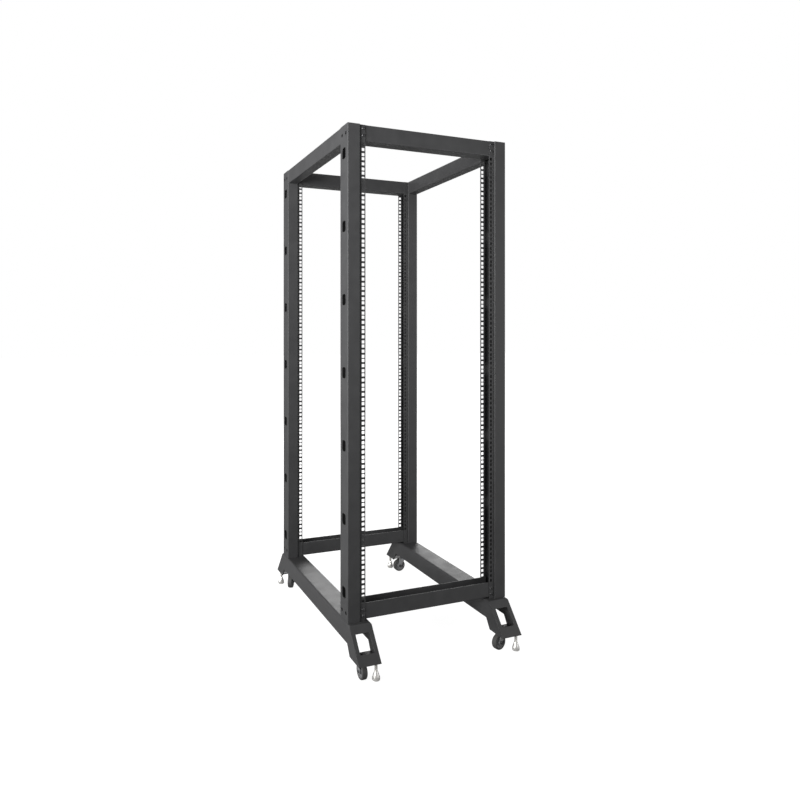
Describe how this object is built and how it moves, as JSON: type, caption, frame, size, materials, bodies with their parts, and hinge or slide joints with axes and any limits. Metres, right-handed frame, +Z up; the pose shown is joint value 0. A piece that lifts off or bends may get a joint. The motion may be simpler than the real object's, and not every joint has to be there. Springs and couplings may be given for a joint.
{
  "type": "four post open frame rack",
  "caption": "Open frame rack of four perforated posts joined by channel beams, on two base rails with swivel castors and levelling feet.",
  "frame": {"origin": "on the floor, at the middle of the rack", "axes": "+Z up, -Y out of the front, +X to the right as seen from the front"},
  "size_m": [0.573, 0.88, 1.6804],
  "materials": {
    "powder_coat": "fine matt black powder coat",
    "castor_steel": "dark satin stamped steel",
    "plated_steel": "bright zinc plate",
    "wheel_rubber": "matt moulded tread"
  },
  "bodies": {
    "frame": {"left_base_rail": "powder_coat", "left_top_beam": "powder_coat", "left_front_post": "powder_coat", "left_front_mount_plate": "powder_coat", "left_front_castor_head": "castor_steel", "left_front_leveller_nut": "plated_steel", "left_rear_post": "powder_coat", "left_rear_mount_plate": "powder_coat", "left_rear_castor_head": "castor_steel", "left_rear_leveller_nut": "plated_steel", "right_base_rail": "powder_coat", "right_top_beam": "powder_coat", "right_front_post": "powder_coat", "right_front_mount_plate": "powder_coat", "right_front_castor_head": "castor_steel", "right_front_leveller_nut": "plated_steel", "right_rear_post": "powder_coat", "right_rear_mount_plate": "powder_coat", "right_rear_castor_head": "castor_steel", "right_rear_leveller_nut": "plated_steel", "front_top_beam": "powder_coat", "front_bottom_beam": "powder_coat", "rear_top_beam": "powder_coat", "rear_bottom_beam": "powder_coat"},
    "left_front_castor": {"left_front_castor_fork": "castor_steel", "left_front_castor_axle": "plated_steel"},
    "left_front_wheel": {"left_front_castor_wheel": "wheel_rubber"},
    "left_front_levelling_foot": {"left_front_leveller": "plated_steel"},
    "left_rear_castor": {"left_rear_castor_fork": "castor_steel", "left_rear_castor_axle": "plated_steel"},
    "left_rear_wheel": {"left_rear_castor_wheel": "wheel_rubber"},
    "left_rear_levelling_foot": {"left_rear_leveller": "plated_steel"},
    "right_front_castor": {"right_front_castor_fork": "castor_steel", "right_front_castor_axle": "plated_steel"},
    "right_front_wheel": {"right_front_castor_wheel": "wheel_rubber"},
    "right_front_levelling_foot": {"right_front_leveller": "plated_steel"},
    "right_rear_castor": {"right_rear_castor_fork": "castor_steel", "right_rear_castor_axle": "plated_steel"},
    "right_rear_wheel": {"right_rear_castor_wheel": "wheel_rubber"},
    "right_rear_levelling_foot": {"right_rear_leveller": "plated_steel"}
  },
  "joints": [
    {"name": "left_front_swivel", "type": "hinge", "parent": "frame", "child": "left_front_castor", "pos_m": [-0.2575, -0.386, 0.057], "axis": [0, 0, 1], "continuous": true},
    {"name": "left_front_roll", "type": "hinge", "parent": "left_front_castor", "child": "left_front_wheel", "pos_m": [-0.2575, -0.395, 0.025], "axis": [1, 0, 0], "continuous": true},
    {"name": "left_front_level", "type": "slide", "parent": "frame", "child": "left_front_levelling_foot", "axis": [0, 0, -1], "range_m": [0, 0.006]},
    {"name": "left_rear_swivel", "type": "hinge", "parent": "frame", "child": "left_rear_castor", "pos_m": [-0.2415, 0.386, 0.057], "axis": [0, 0, 1], "continuous": true},
    {"name": "left_rear_roll", "type": "hinge", "parent": "left_rear_castor", "child": "left_rear_wheel", "pos_m": [-0.246, 0.37821, 0.025], "axis": [0.866, -0.5, 0], "continuous": true},
    {"name": "left_rear_level", "type": "slide", "parent": "frame", "child": "left_rear_levelling_foot", "axis": [0, 0, -1], "range_m": [0, 0.006]},
    {"name": "right_front_swivel", "type": "hinge", "parent": "frame", "child": "right_front_castor", "pos_m": [0.2415, -0.386, 0.057], "axis": [0, 0, 1], "continuous": true},
    {"name": "right_front_roll", "type": "hinge", "parent": "right_front_castor", "child": "right_front_wheel", "pos_m": [0.23277, -0.38818, 0.025], "axis": [0.2419, -0.9703, 0], "continuous": true},
    {"name": "right_front_level", "type": "slide", "parent": "frame", "child": "right_front_levelling_foot", "axis": [0, 0, -1], "range_m": [0, 0.006]},
    {"name": "right_rear_swivel", "type": "hinge", "parent": "frame", "child": "right_rear_castor", "pos_m": [0.2575, 0.386, 0.057], "axis": [0, 0, 1], "continuous": true},
    {"name": "right_rear_roll", "type": "hinge", "parent": "right_rear_castor", "child": "right_rear_wheel", "pos_m": [0.2485, 0.386, 0.025], "axis": [0, -1, 0], "continuous": true},
    {"name": "right_rear_level", "type": "slide", "parent": "frame", "child": "right_rear_levelling_foot", "axis": [0, 0, -1], "range_m": [0, 0.006]}
  ]
}
